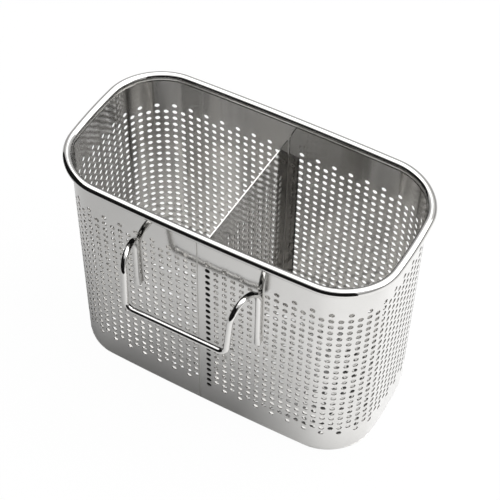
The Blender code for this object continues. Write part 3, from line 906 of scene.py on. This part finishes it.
def shaded_paper(name):
    """The paper under the basket, which gets only the light that falls through the floor.

    Its left part glows plain white to the camera as painted light, and is pale to other rays. Its
    right part is painted shade, dark grey, so that the holes round the right front corner look
    dark.
    """
    paper = new_material(name)
    seen = add_node(paper, "ShaderNodeLightPath")
    place = add_node(paper, "ShaderNodeNewGeometry").outputs["Position"]
    split = add_node(paper, "ShaderNodeSeparateXYZ", {0: place})
    side = add_node(paper, "ShaderNodeMapRange", {"Value": split.outputs["X"],
                                                  "From Min": PALE_TO_DARK[0],
                                                  "From Max": PALE_TO_DARK[1],
                                                  "To Min": 1.0, "To Max": 0.0})
    # Painted light: the left part glows white to the camera
    share = add_node(paper, "ShaderNodeMath", {0: seen.outputs["Is Camera Ray"],
                                               1: side.outputs[0]}, operation="MULTIPLY")
    # Painted shade: the right part dark grey
    tint = add_node(paper, "ShaderNodeMix", {0: side.outputs[0], 6: linear("#585858"),
                                             7: linear("#E8E8E6")}, data_type="RGBA")
    matt = add_node(paper, "ShaderNodeBsdfDiffuse", {"Color": tint.outputs[2]})
    glow = add_node(paper, "ShaderNodeEmission", {"Strength": 1.0})
    mix = add_node(paper, "ShaderNodeMixShader", {0: share.outputs[0], 1: matt.outputs[0],
                                                  2: glow.outputs[0]})
    add_node(paper, "ShaderNodeOutputMaterial", {"Surface": mix.outputs[0]})
    return paper


def add_stage_mesh(name, corners, faces, material):
    """A plain card or floor, kept out of the part."""
    mesh = bpy.data.meshes.new(name)
    mesh.from_pydata(corners, [], faces)
    mesh.materials.append(material)
    card = bpy.data.objects.new(name, mesh)
    bpy.context.scene.collection.objects.link(card)
    return card


def add_softbox(name, place, target, size, energy):
    """A square soft lamp, turned to the target."""
    lamp = bpy.data.lights.new(name, "AREA")
    lamp.size = size
    lamp.energy = energy
    box = bpy.data.objects.new(name, lamp)
    bpy.context.scene.collection.objects.link(box)
    box.location = place
    box.rotation_euler = (Vector(target) - Vector(place)).to_track_quat("-Z", "Y").to_euler()


floor_corners = [(x, y, -FLOOR_DROP) for x, y in ((-4, -4), (4, -4), (4, 4), (-4, 4))]
add_stage_mesh("studio_floor", floor_corners, [(0, 1, 2, 3)], paper_floor("white_paper"))

under = [(point.x, point.y, -FLOOR_DROP / 2)
         for point in plan_outline(WALL_OVERHANG + UNDER_MARGIN)]
add_stage_mesh("paper_under", under, [tuple(range(len(under)))], shaded_paper("shaded_paper"))

# The dark sweep lies on the floor beyond the strip that the front wall mirrors, and rises to 48
# degrees over the rim, from left of the basket round its front. Each pair in SWEEP is a share of
# the way out from its near edge to its far one, and the height there.
SWEEP_TURNS = (172, 322)
SWEEP_STEPS = 30
SWEEP_NEAR = (0.33, 0.28)
SWEEP_FAR = 1.0
SWEEP = ((0.0, 0.001), (0.45, 0.001), (0.75, 0.04), (0.95, 0.2), (1.0, 1.25))
sweep_points = []
for step in range(SWEEP_STEPS + 1):
    angle = math.radians(SWEEP_TURNS[0] + (SWEEP_TURNS[1] - SWEEP_TURNS[0]) * step / SWEEP_STEPS)
    near = Vector((SWEEP_NEAR[0] * math.cos(angle), SWEEP_NEAR[1] * math.sin(angle)))
    far = Vector((SWEEP_FAR * math.cos(angle), SWEEP_FAR * math.sin(angle)))
    sweep_points += [(*near.lerp(far, share), height) for share, height in SWEEP]
across = len(SWEEP)
sweep_faces = [(step * across + k, (step + 1) * across + k, (step + 1) * across + k + 1,
                step * across + k + 1) for step in range(SWEEP_STEPS) for k in range(across - 1)]
black_felt = new_material("black_felt")
felt = add_node(black_felt, "ShaderNodeBsdfDiffuse", {"Color": linear("#181818")})
add_node(black_felt, "ShaderNodeOutputMaterial", {"Surface": felt.outputs[0]})
dark_sweep = add_stage_mesh("dark_sweep", sweep_points, sweep_faces, black_felt)
dark_sweep.visible_camera = False
dark_sweep.visible_diffuse = False
dark_sweep.visible_shadow = False
dark_sweep.visible_transmission = False

add_softbox("overhead", place=(-0.25, 0.45, 1.7), target=(-0.25, 0.45, 0.0), size=2.0,
            energy=20.0)
add_softbox("key", place=(0.82, 0.36, 1.2), target=(0.0, 0.0, 0.05), size=1.3, energy=19.0)

WORLD_FILL = 0.28
TENT_LOW = 0.4
TENT_HIGH = 0.91
world = bpy.data.worlds.new("studio")
bpy.context.scene.world = world
world.use_nodes = True
world.node_tree.nodes.clear()
# Mirrors see the tent greyer near the horizon than overhead, matt surfaces get a little fill
# from it, and the camera sees plain white
seen = add_node(world, "ShaderNodeLightPath")
upward = add_node(world, "ShaderNodeTexCoord").outputs["Generated"]
height = add_node(world, "ShaderNodeSeparateXYZ", {0: upward})
tent = add_node(world, "ShaderNodeMapRange", {"Value": height.outputs["Z"], "From Min": 0.2,
                                              "From Max": 0.6, "To Min": TENT_LOW,
                                              "To Max": TENT_HIGH})
plain = add_node(world, "ShaderNodeMapRange", {"Value": seen.outputs["Is Diffuse Ray"],
                                               "To Min": 1.0, "To Max": WORLD_FILL})
level = add_node(world, "ShaderNodeMix", {0: seen.outputs["Is Glossy Ray"],
                                          2: plain.outputs[0], 3: tent.outputs[0]})
air = add_node(world, "ShaderNodeBackground", {"Color": linear("#FFFFFF"),
                                               "Strength": level.outputs[0]})
add_node(world, "ShaderNodeOutputWorld", {"Surface": air.outputs[0]})

AZIMUTH = math.radians(28.3347)
ELEVATION = math.radians(49.8842)
ROLL = math.radians(1.2109)
DISTANCE = 0.799509
SLIDE = (0.0024458, 0.0090118)
AIM = Vector((0, 0, 0.073640))
LENS = 100.980
turn = (Matrix.Rotation(AZIMUTH, 3, "Z") @ Matrix.Rotation(math.pi / 2 - ELEVATION, 3, "X")
        @ Matrix.Rotation(ROLL, 3, "Z"))
lens = bpy.data.cameras.new("view")
lens.lens = LENS
lens.sensor_width = 36
lens.clip_start = 0.01
view = bpy.data.objects.new("view", lens)
bpy.context.scene.collection.objects.link(view)
view.matrix_world = (Matrix.Translation(AIM + turn @ Vector((*SLIDE, DISTANCE)))
                     @ turn.to_4x4())
bpy.context.scene.camera = view
bpy.context.scene.view_settings.view_transform = "Standard"
